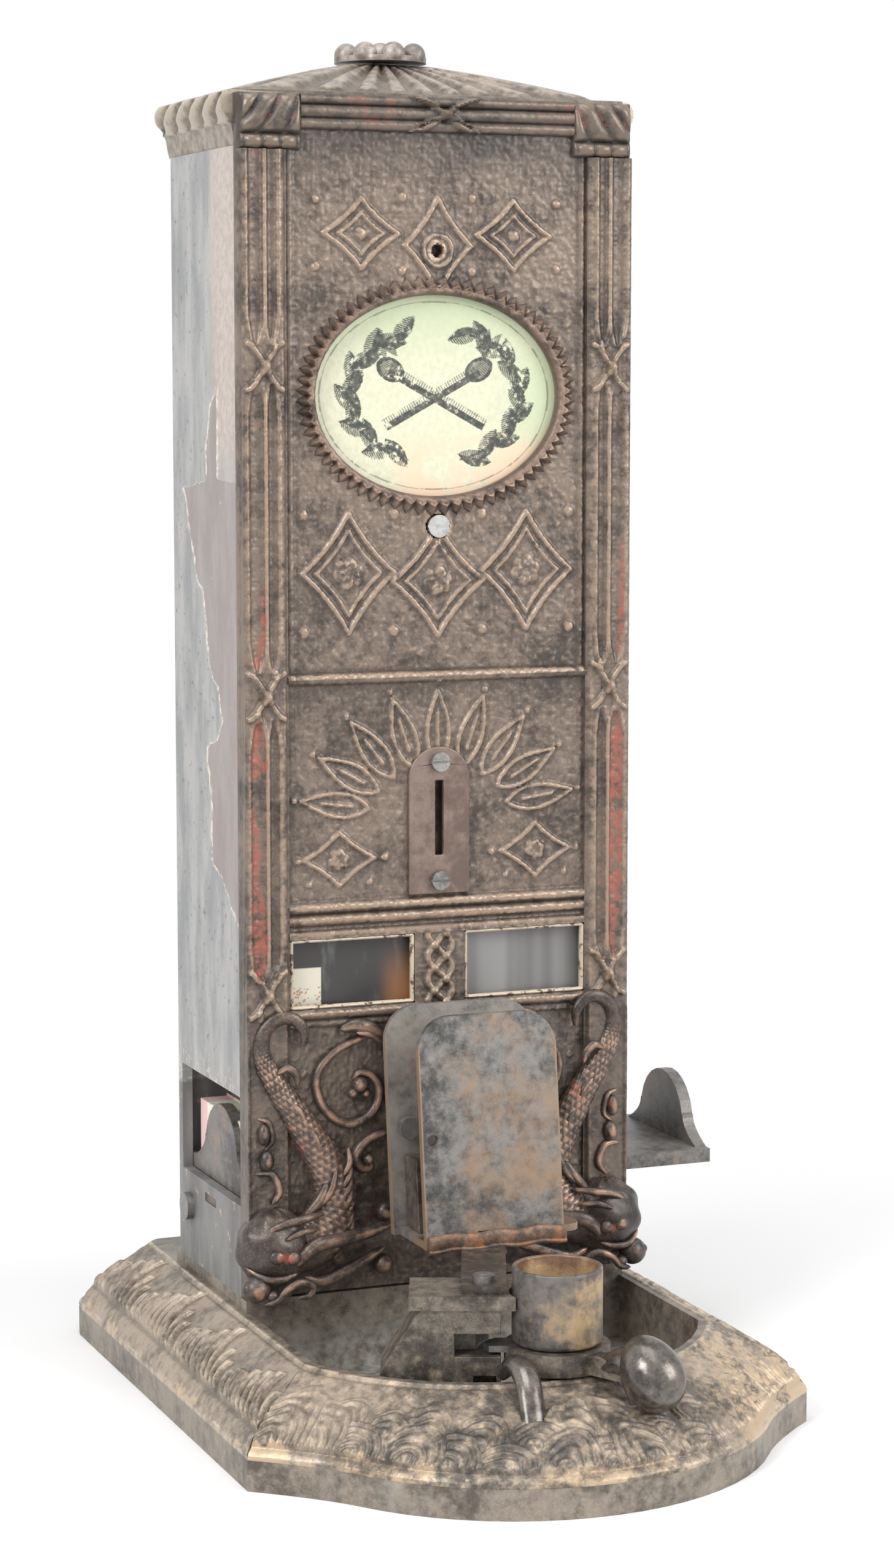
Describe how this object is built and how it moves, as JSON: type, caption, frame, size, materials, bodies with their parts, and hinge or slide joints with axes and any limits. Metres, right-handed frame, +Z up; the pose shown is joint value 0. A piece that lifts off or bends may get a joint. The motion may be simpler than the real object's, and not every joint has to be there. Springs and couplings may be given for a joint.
{
  "type": "match vending machine",
  "caption": "Coin-operated counter match vendor: ornate iron front, side-to-side delivery slide, match box pocket, and a lever cigar cutter with a cup on a sunk tray.",
  "frame": {"origin": "on the underside of the base, below the middle of the front casting's field", "axes": "+Z up, front towards -Y, +X to the viewer's right when facing the front"},
  "size_m": [0.169, 0.2189, 0.3803],
  "materials": {
    "bronzed_iron": "bronzed, worn to copper brown on the high spots",
    "sheet_iron": "dark, mottled with rust",
    "polished_steel": "handled smooth",
    "grey_paint": "old slate grey paint, flaked",
    "plain_steel": "aged",
    "worn_brass": "tarnished",
    "pane": "old sheet glass",
    "print_card": "faded print",
    "box_card": "matt"
  },
  "bodies": {
    "cabinet": {"base_casting": "bronzed_iron", "base_plate": "plain_steel", "base_plate_screws": "plain_steel", "cutter_housing": "bronzed_iron", "cutter_pivot": "plain_steel", "lever_spring": "plain_steel", "ash_cup": "bronzed_iron", "cup_screw": "plain_steel", "thumb_horn": "bronzed_iron", "matchbox_pocket": "sheet_iron", "pocket_block": "sheet_iron", "pocket_strap": "sheet_iron", "pocket_screws": "plain_steel", "front_casting": "bronzed_iron", "left_side": "grey_paint", "right_side": "grey_paint", "picture_card": "print_card", "picture_backing": "plain_steel", "picture_strap": "plain_steel", "picture_screw": "polished_steel", "slot_plate": "plain_steel", "slot_plate_screws": "worn_brass", "left_window_glass": "pane", "right_window_glass": "pane", "left_column": "plain_steel", "right_column": "plain_steel", "column_screws": "plain_steel", "matchbox_stack": "box_card", "coin_chute": "plain_steel", "catch_pin": "plain_steel", "catch_spring": "plain_steel", "slide_bed": "plain_steel", "side_bolts": "plain_steel", "casting_screws": "plain_steel", "hinge_leaves": "plain_steel", "hinge_pins": "plain_steel", "roof": "bronzed_iron", "roof_bar": "plain_steel", "finial": "bronzed_iron", "finial_nut": "plain_steel"},
    "delivery_slide": {"delivery_slide": "plain_steel", "slide_tabs": "plain_steel", "slide_rivets": "plain_steel", "loaded_matchbox": "box_card"},
    "cutter_lever": {"cutter_lever": "polished_steel", "lever_knob": "polished_steel", "cutter_blade": "polished_steel", "blade_rivets": "polished_steel"},
    "coin_catch": {"coin_catch": "worn_brass"},
    "back_door": {"back_door": "grey_paint", "door_knuckles": "plain_steel", "door_lock": "worn_brass"},
    "lock_cam": {"lock_cam": "plain_steel"},
    "cash_drawer": {"cash_drawer": "plain_steel", "drawer_knob": "worn_brass"}
  },
  "joints": [
    {"name": "slide_travel", "type": "slide", "parent": "cabinet", "child": "delivery_slide", "axis": [1, 0, 0], "range_m": [-0.0335, 0]},
    {"name": "lever_turn", "type": "hinge", "parent": "cabinet", "child": "cutter_lever", "pos_m": [0.002, -0.08, 0.0303], "axis": [0, 0, 1], "range_deg": [-38, 0], "stiffness_Nm_per_rad": 0.3},
    {"name": "catch_drop", "type": "hinge", "parent": "cabinet", "child": "coin_catch", "pos_m": [0, 0.0495, 0.092], "axis": [1, 0, 0], "range_deg": [0, 9], "stiffness_Nm_per_rad": 0.05},
    {"name": "door_swing", "type": "hinge", "parent": "cabinet", "child": "back_door", "pos_m": [0.0591, 0.0624, 0.19], "axis": [0, 0, -1], "range_deg": [0, 110]},
    {"name": "lock_turn", "type": "hinge", "parent": "back_door", "child": "lock_cam", "pos_m": [-0.0485, 0.0573, 0.19], "axis": [0, -1, 0], "range_deg": [0, 90]},
    {"name": "drawer_slide", "type": "slide", "parent": "cabinet", "child": "cash_drawer", "axis": [0, 1, 0], "range_m": [0, 0.055]}
  ]
}
